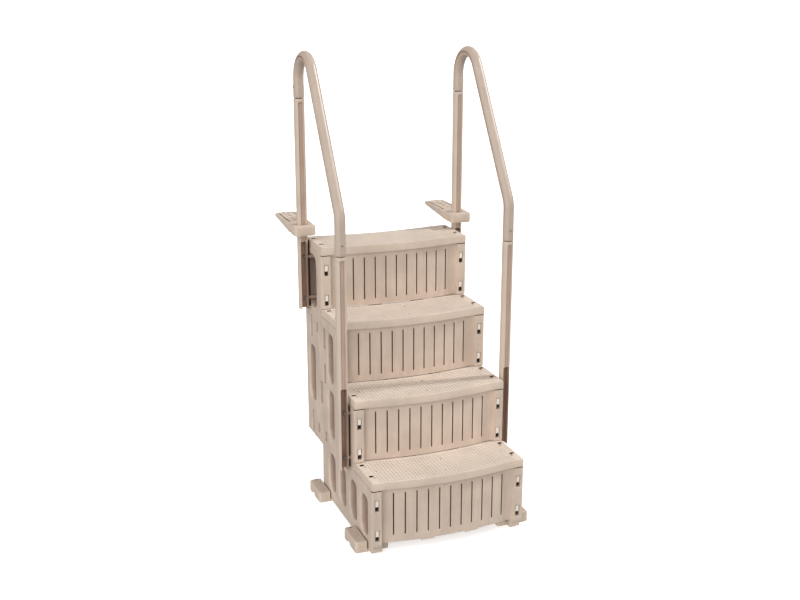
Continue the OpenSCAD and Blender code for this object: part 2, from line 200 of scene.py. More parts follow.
def turned(profile, axis_at, along, count=40):
    """A lathe form: rows of (distance along the axis, radius), turned about a line along x, y or z."""
    a = np.linspace(0, 2 * np.pi, count, endpoint=False)
    d, r = np.asarray(profile, float).T
    flat = [r[:, None] * np.cos(a), r[:, None] * np.sin(a)]
    third = np.broadcast_to(d[:, None], flat[0].shape)
    order = {"x": (third, flat[0], flat[1]),
             "y": (flat[1], third, flat[0]),
             "z": (flat[0], flat[1], third)}
    return swept(np.stack(order[along], -1) + np.asarray(axis_at, float))


def volume(points, faces):
    """Signed volume from each face's fan of triangles."""
    total = 0.0
    for size in {len(f) for f in faces}:
        f = np.array([g for g in faces if len(g) == size])
        a = points[f[:, 0]]
        for i in range(1, size - 1):
            total += np.einsum("ij,ij->", a, np.cross(points[f[:, i]], points[f[:, i + 1]]))
    return total


def centres(points, faces):
    """Middle of each face: the mean of its corners, for all faces of one size at a time."""
    size = np.array([len(f) for f in faces])
    out = np.empty((len(faces), 3))
    for n in np.unique(size):
        rows = np.flatnonzero(size == n)
        out[rows] = points[np.array([faces[i] for i in rows])].mean(1)
    return out


def piece(name, shapes, body, nodes, finish, uv=None):
    """Writes closed shapes, in millimetres, into one object that rides on a body and stands for frame nodes.

    A shape may carry its own finishes after its grid: pairs of a finish and a test of face centres, or
    None for all of its faces. uv, where given, turns each shape's grid coordinates into the UV map.
    """
    points, faces, grid, start, which = [], [], [], 0, []
    names = [finish]
    for p, f, g, *own in shapes:
        p = np.array(p, float)
        marks = np.zeros(len(f), int)
        for other, test in own:
            if other not in names:
                names.append(other)
            marks[test(*centres(p, f).T) if test else slice(None)] = names.index(other)
        which += marks.tolist()
        if volume(p - p.mean(0), f) < 0:
            f = [tuple(reversed(q)) for q in f]
        points.append(p)
        faces += [tuple(int(i) + start for i in q) for q in f]
        grid.append(g if g is not None else np.zeros((len(p), 2)))
        start += len(p)
    points, grid = np.concatenate(points), np.concatenate(grid)
    used = np.zeros(len(points), bool)
    used[np.concatenate([np.array(f) for f in faces])] = True
    new = np.cumsum(used) - 1
    points = (points[used] + [0, ORIGIN_Y, 0]) / MM
    mesh = bpy.data.meshes.new(name)
    mesh.from_pydata(points.tolist(), [], [tuple(int(new[i]) for i in f) for f in faces])
    if uv is not None:
        loop = np.empty(len(mesh.loops), int)
        mesh.loops.foreach_get("vertex_index", loop)
        layer = mesh.uv_layers.new(name="grip")
        layer.data.foreach_set("uv", uv(grid[used])[loop].astype(np.float32).ravel())
    mesh.polygons.foreach_set("use_smooth", np.ones(len(mesh.polygons), bool))
    mesh.set_sharp_from_angle(angle=math.radians(28))
    mesh.validate()
    obj = bpy.data.objects.new(name, mesh)
    bpy.context.scene.collection.objects.link(obj)
    for each in names:
        mesh.materials.append(FINISHES[each])
    mesh.polygons.foreach_set("material_index", np.array(which, np.int32))
    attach(obj, body)
    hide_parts(*nodes)
    return obj


# ---------------------------------------------------------------- finishes

class Wire:
    """A shader socket that takes arithmetic, so a pattern reads as a formula."""

    def __init__(self, tree, socket):
        self.tree, self.socket = tree, socket

    def node(self, kind, settings=None, inputs=None, output=0):
        """Adds any node: its type, its settings first, then its socket values or links."""
        made = self.tree.nodes.new(kind)
        for key, value in (settings or {}).items():
            setattr(made, key, value)
        for key, value in (inputs or {}).items():
            if isinstance(value, Wire):
                self.tree.links.new(value.socket, made.inputs[key])
            else:
                made.inputs[key].default_value = value
        return Wire(self.tree, made.outputs[output])

    def math(self, operation, *values):
        """One Math node over its values."""
        return self.node("ShaderNodeMath", {"operation": operation}, dict(enumerate(values)))

    def __add__(self, other):
        return self.math("ADD", self, other)

    def __radd__(self, other):
        return self.math("ADD", other, self)

    def __sub__(self, other):
        return self.math("SUBTRACT", self, other)

    def __rsub__(self, other):
        return self.math("SUBTRACT", other, self)

    def __mul__(self, other):
        return self.math("MULTIPLY", self, other)

    def __rmul__(self, other):
        return self.math("MULTIPLY", other, self)

    def __abs__(self):
        return self.math("ABSOLUTE", self)

    def ramp(self, low, high):
        """0 below low, 1 above high, smooth between."""
        return self.node("ShaderNodeMapRange", {"interpolation_type": "SMOOTHSTEP"},
                         {"Value": self, "From Min": low, "From Max": high})

    def part(self, axis):
        """One component of a vector."""
        return self.node("ShaderNodeSeparateXYZ", None, {0: self}, "XYZ".index(axis))

    def noise(self, scale, detail=3.0):
        """Noise over this vector, about 0 to 1."""
        return self.node("ShaderNodeTexNoise", None,
                         {"Vector": self, "Scale": scale, "Detail": detail, "Roughness": 0.55})

    def worn(self):
        """Marks rubbed outer edges, broken up by noise."""
        edges = self.node("ShaderNodeNewGeometry", None, None, "Pointiness").ramp(0.53, 0.60)
        return edges * self.noise(70.0).ramp(0.35, 0.75)

    def stretched(self, x, y, z):
        """This vector with each axis scaled."""
        return self.node("ShaderNodeMapping", None, {"Vector": self, "Scale": (x, y, z)})

    def mix(self, a, b):
        """Colour a where this is 0, b where it is 1."""
        made = self.tree.nodes.new("ShaderNodeMix")
        made.data_type = "RGBA"
        self.tree.links.new(self.socket, made.inputs[0])
        for slot, value in ((6, a), (7, b)):
            if isinstance(value, Wire):
                self.tree.links.new(value.socket, made.inputs[slot])
            else:
                made.inputs[slot].default_value = (*value, 1.0)
        return Wire(self.tree, made.outputs[2])

    def bump(self, strength, distance):
        """A normal from this height."""
        return self.node("ShaderNodeBump", None, {"Height": self, "Strength": strength, "Distance": distance})


def shader(name, roughness, metallic=0.0, specular=0.5):
    """A new material, its Principled shader, and Wires on object coordinates and on the UV map."""
    material = bpy.data.materials.new(name)
    material.use_nodes = True
    tree = material.node_tree
    principled = tree.nodes["Principled BSDF"]
    principled.inputs["Roughness"].default_value = roughness
    principled.inputs["Metallic"].default_value = metallic
    principled.inputs["Specular IOR Level"].default_value = specular
    found = tree.nodes.new("ShaderNodeTexCoord").outputs
    return material, principled, Wire(tree, found["Object"]), Wire(tree, found["UV"])


def toned(colour, low, high):
    """A colour's darker and lighter ends, none above 1."""
    colour = np.array(colour)
    return tuple(colour * low), tuple(np.clip(colour * high, 0, 1))


def plug(principled, **wires):
    """Links wires to the Principled shader's varying inputs."""
    for key, wire in wires.items():
        wire.tree.links.new(wire.socket, principled.inputs[key.replace("_", " ")])


def resin(name, colour, depth=0.10, grain=0.35, roughness=0.48, recess=None):
    """Satin moulded resin: soft clouding, faint vertical flow, fine grain, and lighter worn edges.

    recess, where given, is the colour of a painted shade in the side panels' hollows: it deepens with the
    distance in from the outer face, where the UV map's first value marks a hollow.
    """
    material, principled, at, marked = shader(name, roughness, specular=0.42)
    cloud = at.noise(9.0, 4.0)
    flow = at.stretched(60.0, 60.0, 4.0).noise(1.0, 2.0)
    tone = cloud * 0.65 + flow * 0.35
    base = tone.ramp(0.3, 0.7).mix(*toned(colour, 1 - depth, 1 + depth))
    base = (at.worn() * 0.35).mix(base, toned(colour, 1, 1.28)[1])
    # Painted shade: the panels' recesses darken with depth, for the shade that falls inside them
    if recess is not None:
        across = abs(at.part("X"))
        inward = (0.304 - across).ramp(-0.002, 0.024) * (across - 0.266).ramp(0.0, 0.003)
        painted_shade = inward * marked.part("X").ramp(0.5, 0.9)
        base = (painted_shade * 0.7).mix(base, tuple(recess))
    fine, peel = at.noise(1500.0, 2.0), at.noise(260.0, 2.0)
    plug(principled, Base_Color=base, Roughness=cloud * 0.16 + fine * 0.08 + (roughness - 0.12),
         Normal=(fine * 0.5 + peel).bump(grain, 0.0004))
    return material


def grip_resin(name, colour, side_colour):
    """Tread resin: the same satin resin, painted lighter on upward faces where the key light falls, with
    painted shade in the grooves of the grip and most where they cross.

    The UV map holds x and the distance back from the front edge in metres. Each family of grooves is
    the low values of |sin| across it; the border is a smooth step on distance.
    """
    material, principled, at, uv = shader(name, 0.5, specular=0.42)
    x, back = uv.part("X"), uv.part("Y")
    rise = x * (math.pi * MM / GRIP_PITCH) + math.pi / 2
    fall = (back - GRIP_FIRST / MM) * (math.pi * MM / GRIP_ROWS)
    one = 1.0 - abs(rise.math("SINE", rise)).ramp(0.12, 0.75)
    two = 1.0 - abs(fall.math("SINE", fall)).ramp(0.15, 0.85)
    depthwise = (back - 0.008).ramp(0.0, 0.003) * (0.188 - back).ramp(0.0, 0.003)
    inside = (0.2705 - abs(x)).ramp(0.0, 0.003) * depthwise
    # Painted light: faces that look up take the lighter tread colour, most over the grip field, for the key
    # light on the tops; the sides keep the resin colour
    top = at.node("ShaderNodeNewGeometry", None, None, "Normal").part("Z").ramp(0.85, 0.97)
    cloud = at.noise(9.0, 4.0)
    body = cloud.ramp(0.3, 0.7).mix(*toned(side_colour, 0.93, 1.06))
    base = cloud.ramp(0.3, 0.7).mix(*toned(colour, 0.94, 1.05))
    base = (top * (inside * 0.4 + 0.6)).mix(body, base)
    # Painted shade in the grip's grooves, darkest where they cross
    groove_shade = (one * 0.12 + two * 0.30 + one * two * 0.58) * (inside * top)
    base = groove_shade.mix(base, tuple(np.array(colour) * [0.14, 0.11, 0.09]))
    base = (at.worn() * 0.35).mix(base, toned(colour, 1, 1.2)[1])
    fine = at.noise(1500.0, 2.0)
    plug(principled, Base_Color=base, Roughness=cloud * 0.14 + fine * 0.08 + 0.40,
         Normal=(fine * 0.5 + at.noise(260.0, 2.0)).bump(0.35, 0.0004))
    return material


def metal(name, colour):
    """Stainless fasteners: brushed streaks, faint tea-coloured staining."""
    material, principled, at, _ = shader(name, 0.45, 1.0)
    colour = np.array(colour)
    streak = at.stretched(900.0, 900.0, 120.0).noise(1.0, 3.0)
    stain = at.noise(90.0, 4.0).ramp(0.5, 0.72)
    base = (stain * 0.35).mix(tuple(colour), tuple(colour * [0.72, 0.6, 0.46]))
    plug(principled, Base_Color=base, Roughness=streak * 0.25 + stain * 0.15 + 0.35,
         Normal=streak.bump(0.2, 0.0002))
    return material


FINISHES = {}


# ---------------------------------------------------------------- pieces

def tread(k, grip_step):
    """One tread: a bowed board with a grip field, lock slots with seam grooves, and drain holes."""
    low, high = TREAD_BOX[k - 1]
    front = front_of(k)
    depth, thick, bottom = 206.0, high[2] - low[2], low[2]
    slot_x, slot_half, slots = 287.0, 7.0, ((58.0, 72.0), (159.0, 175.0))
    seam_in, seam_out = 276.5, 280.1
    drain_r, cut = 3.0, 1.7
    drains = [(-254.0, 100.0), (254.0, 100.0), (12.0, 140.0), (-9.0, 43.0)]
    r = 3.5
    ring = np.array([-3, -1.5, 0, 1.5, 3])
    groove_x = GRIP_PITCH * (np.arange(-21, 21) + 0.5)
    groove_y = GRIP_FIRST + GRIP_ROWS * np.arange(12)
    across = np.array([-cut, -0.8, 0.8, cut])
    slot_stops = slot_half * np.array([-1, 1])
    slot_stops = slot_x + np.concatenate([slot_stops, slot_stops * 8 / 7, slot_stops * 6.5 / 7])
    u = lines(near(-HALF, 1, r), near(HALF, -1, r), [-250, 250], *[x + across for x in groove_x],
              -slot_stops, slot_stops, [-278.5, -seam_in, seam_in, 278.5],
              *[d[0] + ring for d in drains], step=17.0)
    v = lines(near(0, 1, r), near(depth, -1, 1), *[y + across for y in groove_y],
              *[[a - 1, a, a + .5, b - .5, b, b + 1] for a, b in slots], [40.5, 42.5, 141.5, 143.5],
              *[d[1] + ring for d in drains], step=13.0)
    u, v = thin(u, 0.3), thin(v, 0.3)
    U, V = np.meshgrid(u, v, indexing="ij")
    edge = np.minimum(np.minimum(HALF - abs(U), V), depth - V)
    top = thick - fillet(np.minimum(HALF - abs(U), V), r) - fillet(depth - V, 1)
    field = (abs(U) < 270.5) & (V > 8) & (V < 187)
    one = np.clip((cut - np.min([abs(U - x) for x in groove_x], 0)) / 0.9, 0, 1)
    two = np.clip((cut - np.min([abs(V - y) for y in groove_y], 0)) / 0.9, 0, 1)
    top = top - grip_step * field * (np.maximum(one, 0.7 * two) + 0.5 * one * two)
    for a, b in slots:
        out = np.maximum(abs(abs(U) - slot_x) - slot_half, np.maximum(a - V, V - b))
        top = top - 0.8 * np.clip(1 - out, 0, 1) * (out > -0.25) - np.where(out <= -0.45, 26.0, 0.0)
        seam = (abs(U) >= seam_in - .01) & (abs(U) <= seam_out) & (V >= a - 17.6) & (V <= a + 6)
        top = np.where(seam & (out > 0.9), top - 1.6, top)
    CU, CV = cells(u, v)
    solid = np.ones(CU.shape, bool)
    for x, y in drains:
        solid &= np.maximum(abs(CU - x), abs(CV - y)) > drain_r
    under = fillet(edge, 1.5)
    ribs = np.clip((250 - abs(U)) / 8, 0, 1) * np.clip((V - 22) / 8, 0, 1) * np.clip((190 - V) / 8, 0, 1)
    under = under + 5.0 * ribs * np.clip(6 * abs(np.sin(np.pi * U / 84.0)) - 1, 0, 1)

    def place(a, b, h):
        x, y = a, b
        for du, dv in drains:
            x, y = round_warp(x, y, du, dv, drain_r, 3 * drain_r)
        return x, front + y - bowed(x), bottom + h

    # Painted shade: the walls of the lock slots and drain holes are near-black
    def painted_shade(x, y, z):
        back = y - front + bowed(x)
        low_enough = (z < high[2] - 0.6) & (z > bottom + 4)
        locks = (abs(abs(x) - slot_x) < slot_half + 0.2) & (z < high[2] - 1.2) & (back > 30) & (back < 190)
        drained = np.min([np.hypot(x - du, back - dv) for du, dv in drains], 0) < drain_r + 0.4
        return low_enough & (locks | drained)

    # Painted shade: the seam grooves beside the lock slots take the dark groove colour
    def seam_shade(x, y, z):
        back = y - front
        shallow = (z < high[2] - 0.6) & (z > high[2] - 3)
        return shallow & (abs(abs(x) - 278.3) < 2.2) & (back > 30) & (back < 190)

    shape = slab(u, v, under, top, solid, place)
    return piece(f"tread_{k}.moulding", [(*shape, ("hollow", painted_shade), ("seam", seam_shade))], "ladder",
                 [f"tread_{k}"], "tread", uv=lambda g: g / MM)


def riser(k, slot_draft):
    """One riser: a thin bowed wall between two proud end strips, with water slots, clip windows and tabs."""
    low, high = box_mm(f"riser_{k}")
    front = front_of(k)
    top, bottom = high[2], low[2] + (8.0 if k == 1 else 2.5)
    tab = bottom - (5.0 if k == 1 else 2.5)
    half, crease, wall, proud, back, r = high[0], 268.0, 3.0, 15.0, 16.0, 3.0
    slot_pitch, gap, core = 44.0, 2.5, 15.0
    slot_x = slot_pitch * np.arange(-5, 6)
    s0, s1 = top - 190.0, top - 20.0
    windows = [(top - drop - WINDOW_H, top - drop) for drop in WINDOW_DROPS]
    window_half = 8.5
    tabs = (62.0, 116.0)
    mirrored = np.array([*tabs, 250, 260.6, 261.4, crease, crease + 1.2,
                         *(WINDOW_X + np.array([-10, -window_half, window_half, 10]))])
    u = lines(near(-half, 1, r), near(half, -1, r), -mirrored, mirrored,
              *[x + gap * np.array([-1.5, -1, -.5, 0, .5, 1, 1.5]) for x in slot_x], step=12.0)
    v = lines([low[2], tab, bottom, bottom + 1.2, top - 3.0, top - 1.6],
              [s0 - 1.2, s0, s0 + gap / 2, s0 + gap, s1 - gap, s1 - gap / 2, s1, s1 + 1.2],
              *[[a - 1.5, a, b, b + 1.5] for a, b in windows], step=18.0)
    U, V = np.meshgrid(u, v, indexing="ij")
    strip = np.clip((abs(U) - crease) / 1.2, 0, 1)
    height = wall + (proud - wall) * strip - fillet(half - abs(U), r)
    for x in slot_x:
        out = np.maximum(abs(U - x) - gap, np.maximum(s0 - V, V - s1))
        height = height - slot_draft * np.clip(1 - out / 1.25, 0, 1) * (out > -0.1)
    for a, b in windows:
        out = np.maximum(abs(abs(U) - WINDOW_X) - window_half, np.maximum(a - V, V - b))
        height = height - 1.0 * np.clip(1 - out / 1.5, 0, 1) * (out > -0.1)
    height = height - 1.2 * np.clip(1 - (V - low[2]) / 2.5, 0, 1) * strip - 1.0 * (V > top - 2)
    CU, CV = cells(u, v)
    solid = CV > bottom
    solid |= (abs(CU) > tabs[0]) & (abs(CU) < tabs[1])
    if k == 1:
        solid |= abs(CU) > crease
        solid &= (CV > tab) | (abs(CU) > crease)
    for x in slot_x:
        solid &= ~((abs(CU - x) < gap) & (CV > s0) & (CV < s1))
    for a, b in windows:
        solid &= ~((abs(abs(CU) - WINDOW_X) < window_half) & (CV > a) & (CV < b))

    def place(a, b, h):
        x, z = a, b
        for sx in slot_x:
            x, z = round_warp(x, z, sx, s1 - gap, gap, gap * 1.5, "up")
            x, z = round_warp(x, z, sx, s0 + gap, gap, gap * 1.5, "down")
        return x, front + back - h - bowed(x), z

    # Painted shade: the water slots' walls take the dark groove colour
    def painted_shade(x, y, z):
        off = abs((x + slot_pitch / 2) % slot_pitch - slot_pitch / 2)
        return (off < gap + 0.1) & (abs(x) < 240) & (z > s0 - 0.5) & (z < s1 + 0.5)

    def shadowed(x, y, z):
        beneath = (z < bottom + 0.1) & (z > tab - 0.1) & (abs(x) < crease - 1) & (k > 1)
        return (z > top - 3.05) | beneath

    behind = np.interp(abs(U), [260.6, 261.4], [-core, 0.0])
    shape = slab(u, v, behind, height, solid, place)
    return piece(f"riser_{k}.moulding", [(*shape, ("seam", painted_shade), ("hollow", shadowed))], "ladder",
                 [f"riser_{k}"], "resin")


def clips(k):
    """The four pale hooks in one riser's windows, each over a near-black block, painted shade for the dark
    hollow that it reaches into.

    Both are blocks with rounded front edges; below the hook the hollow's front steps back.
    """
    top, front = box_mm(f"riser_{k}")[1][2], front_of(k)
    hook = (6.3, -25.5, -2.0, 0.0, 29.5, 29.5, 1.4, ())
    # Painted shade: the block behind each hook is near-black, for the shade inside the hollow panel
    hollow = (8.4, -WINDOW_H, 0.0, 1.0, 27.0, 19.0, 0.5, (("hollow", None),))
    hook_end, depth = -26.0, 32.0
    shapes = []
    for side in (-1, 1):
        for drop in WINDOW_DROPS:
            def place(a, b, h, x0=side * WINDOW_X, z0=top - drop):
                return x0 + a, front + depth - h, z0 + b

            for half, low, high, rear, proud, deep, r, own in (hook, hollow):
                u = lines(near(-half, 1, r), near(half, -1, r), step=4)
                v = lines(near(low, 1, r), near(high, -1, r), step=4)
                U, V = np.meshgrid(u, v, indexing="ij")
                face = proud - fillet(np.minimum(half - abs(U), np.minimum(V - low, high - V)), r)
                face = np.where(V < hook_end, deep, face)
                shapes.append((*block(u, v, rear, face, place), *own))
    return piece(f"riser_clips_{k}.hooks", shapes, "ladder", [f"riser_clips_{k}"], "clip")


def panel(name, side, rects, ovals, pockets, windows, seats, bosses, rib, rim):
    """A side panel: three layers over one grid, so that edge pockets stay hidden between plain faces.

    rects make the outline, ovals are (y, low, high, width), pockets and seats are (y0, y1, z0, z1). An oval
    is a rectangle in the grid whose square ends are warped round. Depth is full inside a recess, nothing on
    its rim, with the drop spread over the draft between the two. bosses are spacers towards a post, coloured
    with painted shade, and rib is the (y0, y1, z0, z1) of the web beside them, near-black as painted shade
    for the gap between post and panel.
    """
    draft, floor, middle, outer, full = 2.2, 12.0, 15.5, 32.5, 44.0
    soft, curve = 7.0, np.array([0.1, 0.35, 0.7, 1.0])
    us, vs = [], []
    for y0, y1, z0, z1 in rects:
        us += [near(y0, 1, rim), near(y1, -1, rim)]
        vs += [near(z0, 1, rim), near(z1, -1, rim)]
    for y, a, b, w in ovals:
        h = w / 2
        us += [y + h * CIRCLE_STOPS, [y - h + draft, y + h - draft],
               y - h - soft * curve, y + h + soft * curve]
        vs += [a + h - h * CIRCLE_STOPS[5:], b - h + h * CIRCLE_STOPS[5:], [a + draft, b - draft],
               a - soft * curve, b + soft * curve]
    for y0, y1, z0, z1 in pockets:
        us.append([y0 - 2, y0, y0 + draft, y1 - draft, y1, y1 + 2])
        vs.append([z0 - 2, z0, z0 + draft, z1 - draft, z1, z1 + 2])
    for y0, y1, z0, z1 in windows + seats:
        us.append([y0, y1])
        vs.append([z0, z1])
    ylo, yhi = min(q[0] for q in rects), max(q[1] for q in rects)
    zlo, zhi = min(q[2] for q in rects), max(q[3] for q in rects)
    u = thin(lines(*[np.clip(a, ylo, yhi) for a in us], step=22.0))
    v = thin(lines(*[np.clip(a, zlo, zhi) for a in vs], step=30.0))
    U, V = np.meshgrid(u, v, indexing="ij")
    CU, CV = cells(u, v)

    def outside(y, z, q):
        return np.maximum(np.maximum(q[0] - y, y - q[1]), np.maximum(q[2] - z, z - q[3]))

    boxes = [(y - w / 2, y + w / 2, a, b) for y, a, b, w in ovals] + list(pockets)
    out = np.min([outside(U, V, q) for q in boxes], 0)
    cell_out = np.min([outside(CU, CV, q) for q in boxes], 0)
    body = np.min([outside(CU, CV, q) for q in rects], 0) < 0
    for q in seats:
        body &= outside(CU, CV, q) > 0
    inset = -np.min([outside(U, V, q) for q in rects], 0)
    window = np.zeros(CU.shape, bool)
    for q in windows:
        window |= outside(CU, CV, q) < 0
    base = middle - (middle - floor) * np.clip(-out / draft, 0, 1)
    rounds = np.min([outside(U, V, q) for q in boxes[:len(ovals)]], 0)
    square = np.min([outside(U, V, q) for q in boxes[len(ovals):]], 0)
    face = full - fillet(inset, rim) - fillet(rounds, soft)
    face = face - 1.4 * np.clip(1 - np.clip(square, 0, 2) / 2, 0, 1) * (rounds > soft)
    dent = 3.0 * np.clip((inset - 14) / 6, 0, 1) * np.clip(5 * abs(np.sin(np.pi * V / 120)) - 1.2, 0, 1)

    def place(a, b, h):
        y, z = a, b
        for yc, lo, hi, w in ovals:
            y, z = round_warp(y, z, yc, hi - w / 2, w / 2, w / 2 + 8, "up")
            y, z = round_warp(y, z, yc, lo + w / 2, w / 2, w / 2 + 8, "down")
        return side * (PANEL_X + h), y, z

    solid = cell_out > 0
    shapes = [slab(u, v, np.minimum(dent, base - 6), base, body, place),
              slab(u, v, middle, outer, body & solid & ~window, place),
              slab(u, v, outer, face, body & solid, place)]
    spacer = [(276, 7), (306, 7), (312.4, 6.6), (313, 6)]
    # Painted shade: the spacers take the dark channel colour, for the shade between post and panel
    for y, z in bosses:
        shapes.append((*turned([(side * x, r) for x, r in spacer], (0, y, z), "x"), ("shade", None)))
    # Painted shade: a near-black web fills the gap between post and panel, where only shade lies
    web = block(lines(rib[:2], step=20), lines(rib[2:], step=60), 43.5, 50.8,
                lambda y, z, h: (side * (PANEL_X + h), y, z))
    shapes.append((*web, ("hollow", None)))

    # Marks the faces inside the hollows, where the panel resin lays its painted shade
    def recess_shade_marks(g):
        inward = np.min([outside(g[:, 0], g[:, 1], q) for q in boxes], 0) < 0.05
        return np.stack([inward, inward], -1).astype(float)

    return piece(f"{name}.moulding", shapes, "ladder", [name], "panel", uv=recess_shade_marks)


def foot(name, side):
    """A foot: a rounded block with an open channel for the panel, a floor groove and a small hole."""
    low, high = box_mm(name)
    y0, depth = low[1] - ORIGIN_Y, high[1] - low[1]
    x0, x1, corner = 225.0, 356.0, 9.0
    tall, r, hole, hole_r = high[2], 6.0, (333.0, depth - 13.0), 4.0
    ring = np.array([-4, -2, 0, 2, 4])
    u = lines(near(x0, 1, r), near(x1, -1, r), [258.5, 259, 261.7, 306.3, 310.5, 311], hole[0] + ring,
              step=14)
    v = lines(near(0, 1, r), near(depth, -1, r), [67, 68.5, 101.5, 103], hole[1] + ring, step=14)
    U, V = np.meshgrid(u, v, indexing="ij")
    ends, sides = np.minimum(U - x0, x1 - U), np.minimum(V, depth - V)
    d = r - np.hypot(np.clip(r - ends, 0, r), np.clip(r - sides, 0, r))
    top = tall - fillet(d, r)
    channel = (U > 258.8) & (U < 310.7)
    top = np.where(channel, 12.0, top)
    lip = (abs(U - 258.5) < 0.1) | (abs(U - 311) < 0.1)
    top = np.where(lip, top - 1.0, top)
    under = np.where((V > 68) & (V < 102), 9.0, 0.0) + fillet(ends, 2)
    CU, CV = cells(u, v)
    solid = np.maximum(abs(CU - hole[0]), abs(CV - hole[1])) > hole_r

    def place(a, b, h):
        x, y = round_warp(a, b, *hole, hole_r, 9.0)
        for cu, su in ((x0 + corner, -1), (x1 - corner, 1)):
            for cv, sv in ((corner, -1), (depth - corner, 1)):
                x, y = round_warp(x, y, cu, cv, corner, (su, sv), "corner")
        return side * x, y0 + y, h

    # Painted shade: the thin gap beside the panel and the bore of the hole are near-black
    def painted_shade(x, y, z):
        gap = (abs(x) > 306.2) & (abs(x) < 311.1) & (z > 11.5) & (z < tall - 0.4)
        bored = np.hypot(abs(x) - hole[0], y - y0 - hole[1]) < hole_r + 0.5
        return gap | (bored & (z < tall - 0.3) & (z > 10))

    shape = slab(u, v, under, top, solid, place)
    return piece(f"{name}.moulding", [(*shape, ("hollow", painted_shade))], "ladder", [name], "resin")


def post(name, side):
    """A post: a round bar whose front is cut by a shallow flute that deepens into an open channel.

    Each ring is a circle outside the slot and, inside it, the circle's own front pushed back by the
    slot's depth at that height.
    """
    low, high = box_mm(name)
    rear = "rear" in name
    y = REAR_POST_Y if rear else FRONT_POST_Y
    spigot_h, r, around = 60.0, POST_R, 44
    joint = high[2] - spigot_h
    bottom, deep = low[2], (1035.0 if rear else 581.0)
    z = np.unique(np.round(np.concatenate([
        bottom + np.array([0, .4, 1.5]), np.linspace(bottom + 4, deep - 4, 6),
        deep + np.array([-3, -1.5, -.2, .2]), np.linspace(deep + 4, joint - 26, 8),
        joint - np.array([20, 17, 14, 11, 9, 2.4, 1.2, .5, 0])]), 3))
    depth = np.interp(z, [deep - 3, deep - .2, deep + .2, joint - 20, joint - 11], [28, 26, 6, 6, 0])
    radius = r - np.interp(z, [bottom, bottom + 1.5, joint - 2.4, joint], [1.2, 0, 0, 1.0])
    edge = np.arcsin(np.interp(z, [deep - .2, deep + .2], [24.0, 18.0]) / 2 / r)[:, None]
    a = edge + (2 * np.pi - 2 * edge) * np.linspace(0, 1, around)
    xs = np.concatenate([np.sin(a), np.sin(edge) * np.array([-1, -.92, -.5, 0, .5, .92])], 1)
    ys = np.concatenate([-np.cos(a), -np.cos(np.arcsin(xs[:, around:]))], 1)
    push = np.concatenate([np.zeros(around), [0.6, 1, 1, 1, 1, 1]])
    X = radius[:, None] * xs
    Y = radius[:, None] * ys + depth[:, None] * push
    Z = np.broadcast_to(z[:, None], X.shape)
    bar = swept(np.stack([side * POST_X + X, y + Y, Z], -1))

    # Painted shade: faces inside the open channel take the dark channel colour
    def painted_shade(px, py, pz):
        return (np.hypot(px - side * POST_X, py - y) < r - 2.2) & (pz < deep + 1) & (pz > bottom + 0.5)

    # Painted shade: the flute's faces take a darker tone of the resin
    def flute(px, py, pz):
        return (np.hypot(px - side * POST_X, py - y) < r - 1.4) & (pz > deep) & (pz < joint - 2)

    # Painted shade: the spigot is near-black, seen only as a dark ring in the gap at the joint
    spigot = turned([(joint + h, 15) for h in (-4, 0, 8, spigot_h)], (side * POST_X, y, 0), "z", 24)
    return piece(f"{name}.tube", [(*bar, ("flute", flute), ("shade", painted_shade)), (*spigot, ("hollow", None))],
                 "ladder", [name], "post")


